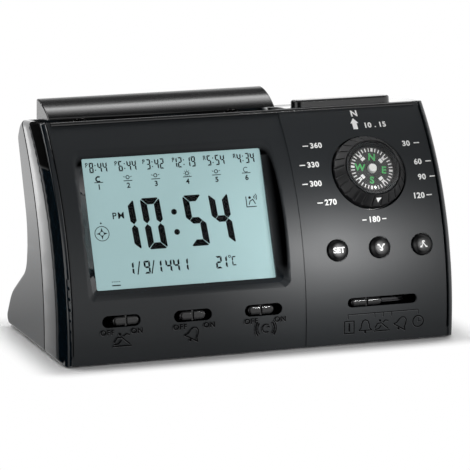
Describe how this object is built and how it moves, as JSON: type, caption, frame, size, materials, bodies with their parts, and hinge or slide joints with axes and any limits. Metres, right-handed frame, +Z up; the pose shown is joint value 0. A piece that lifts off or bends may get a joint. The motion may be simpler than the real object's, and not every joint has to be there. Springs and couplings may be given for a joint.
{
  "type": "prayer time alarm clock",
  "caption": "Table alarm clock with a leaning convex face, large display, wide press bar, magnetic compass in a turning ring, press buttons and slide switches.",
  "frame": {"origin": "bottom centre of the clock, level with the undersides of its rubber feet", "axes": "+X to the right as its user sees it, +Y from the face to the back, +Z up; the face looks along -Y"},
  "size_m": [0.2114, 0.1045, 0.1254],
  "materials": {
    "case_plastic": "satin black moulded plastic with a fine grain",
    "control_plastic": "satin black moulded plastic",
    "button_plastic": "glossy black plastic",
    "clear_plastic": "clear moulded lens, stood in for by glass",
    "display_glass": "liquid crystal display glass, pale blue-green",
    "white_plastic": "white plastic",
    "dial_plastic": "black printed dial",
    "inner_plastic": "plain black plastic",
    "circuit_board": "green lacquered board",
    "resin": "black resin",
    "rubber_black": "soft black rubber",
    "steel": "plated steel",
    "cell_jacket": "plain metal jacket, weight near a real cell's",
    "speaker_paper": "black paper",
    "wire_red": "red insulated wire",
    "wire_black": "black insulated wire"
  },
  "bodies": {
    "case": {"front_case": "case_plastic", "rear_case": "case_plastic", "display_lens": "clear_plastic", "display_glass": "display_glass", "light_plate": "white_plastic", "display_holder": "inner_plastic", "contact_strip": "rubber_black", "main_board": "circuit_board", "main_chip": "resin", "quartz_crystal": "steel", "board_capacitors": "resin", "long_board_screws": "steel", "short_board_screws": "steel", "switch_board": "circuit_board", "slide_switch_bodies": "inner_plastic", "button_board": "circuit_board", "top_board": "circuit_board", "press_switch_bodies": "inner_plastic", "press_switch_plungers": "inner_plastic", "compass_cup": "case_plastic", "compass_dome": "clear_plastic", "compass_pivot": "steel", "case_screws": "steel", "rubber_feet": "rubber_black", "battery_cells": "cell_jacket", "battery_plates": "steel", "battery_springs": "steel", "speaker_basket": "steel", "speaker_cone": "speaker_paper", "speaker_magnet": "steel", "red_wires": "wire_red", "black_wires": "wire_black"},
    "press_bar": {"press_bar": "control_plastic", "bar_springs": "steel"},
    "top_key": {"top_key": "control_plastic"},
    "set_button": {"set_button": "button_plastic"},
    "down_button": {"down_button": "button_plastic"},
    "up_button": {"up_button": "button_plastic"},
    "prayer_switch": {"prayer_switch": "control_plastic"},
    "alarm_switch": {"alarm_switch": "control_plastic"},
    "snooze_switch": {"snooze_switch": "control_plastic"},
    "mode_knob": {"mode_knob": "control_plastic"},
    "compass_ring": {"compass_ring": "control_plastic"},
    "compass_card": {"compass_dial": "dial_plastic", "compass_cap": "white_plastic", "compass_magnet": "steel"},
    "battery_door": {"battery_door": "case_plastic"}
  },
  "joints": [
    {"name": "press_bar_slide", "type": "slide", "parent": "case", "child": "press_bar", "axis": [0, 0, -1], "range_m": [0, 0.0012], "stiffness_N_per_m": 800, "springref_m": -0.0015, "deforming": ["bar_springs"]},
    {"name": "top_key_slide", "type": "slide", "parent": "case", "child": "top_key", "axis": [0, -0.0869, -0.9962], "range_m": [0, 0.001], "stiffness_N_per_m": 500, "springref_m": -0.001},
    {"name": "set_button_slide", "type": "slide", "parent": "case", "child": "set_button", "axis": [0, 0.9677, -0.2523], "range_m": [0, 0.0008], "stiffness_N_per_m": 500, "springref_m": -0.0008},
    {"name": "down_button_slide", "type": "slide", "parent": "case", "child": "down_button", "axis": [0, 0.9677, -0.2523], "range_m": [0, 0.0008], "stiffness_N_per_m": 500, "springref_m": -0.0008},
    {"name": "up_button_slide", "type": "slide", "parent": "case", "child": "up_button", "axis": [0, 0.9677, -0.2523], "range_m": [0, 0.0008], "stiffness_N_per_m": 500, "springref_m": -0.0008},
    {"name": "prayer_switch_slide", "type": "slide", "parent": "case", "child": "prayer_switch", "axis": [1, 0, 0], "range_m": [-0.0052, 0]},
    {"name": "alarm_switch_slide", "type": "slide", "parent": "case", "child": "alarm_switch", "axis": [1, 0, 0], "range_m": [-0.0026, 0.0026]},
    {"name": "snooze_switch_slide", "type": "slide", "parent": "case", "child": "snooze_switch", "axis": [1, 0, 0], "range_m": [-0.0014, 0.0038]},
    {"name": "mode_knob_slide", "type": "slide", "parent": "case", "child": "mode_knob", "axis": [1, 0, 0], "range_m": [0, 0.0184]},
    {"name": "compass_ring_turn", "type": "hinge", "parent": "case", "child": "compass_ring", "pos_m": [0.0645, -0.03184, 0.08583], "axis": [0, -0.8616, 0.5076], "continuous": true},
    {"name": "compass_card_turn", "type": "hinge", "parent": "case", "child": "compass_card", "pos_m": [0.0645, -0.03184, 0.08583], "axis": [0, -0.8616, 0.5076], "continuous": true},
    {"name": "battery_door_hinge", "type": "hinge", "parent": "case", "child": "battery_door", "pos_m": [0, -0.01178, 0.0018], "axis": [-1, 0, 0], "range_deg": [0, 85]}
  ]
}
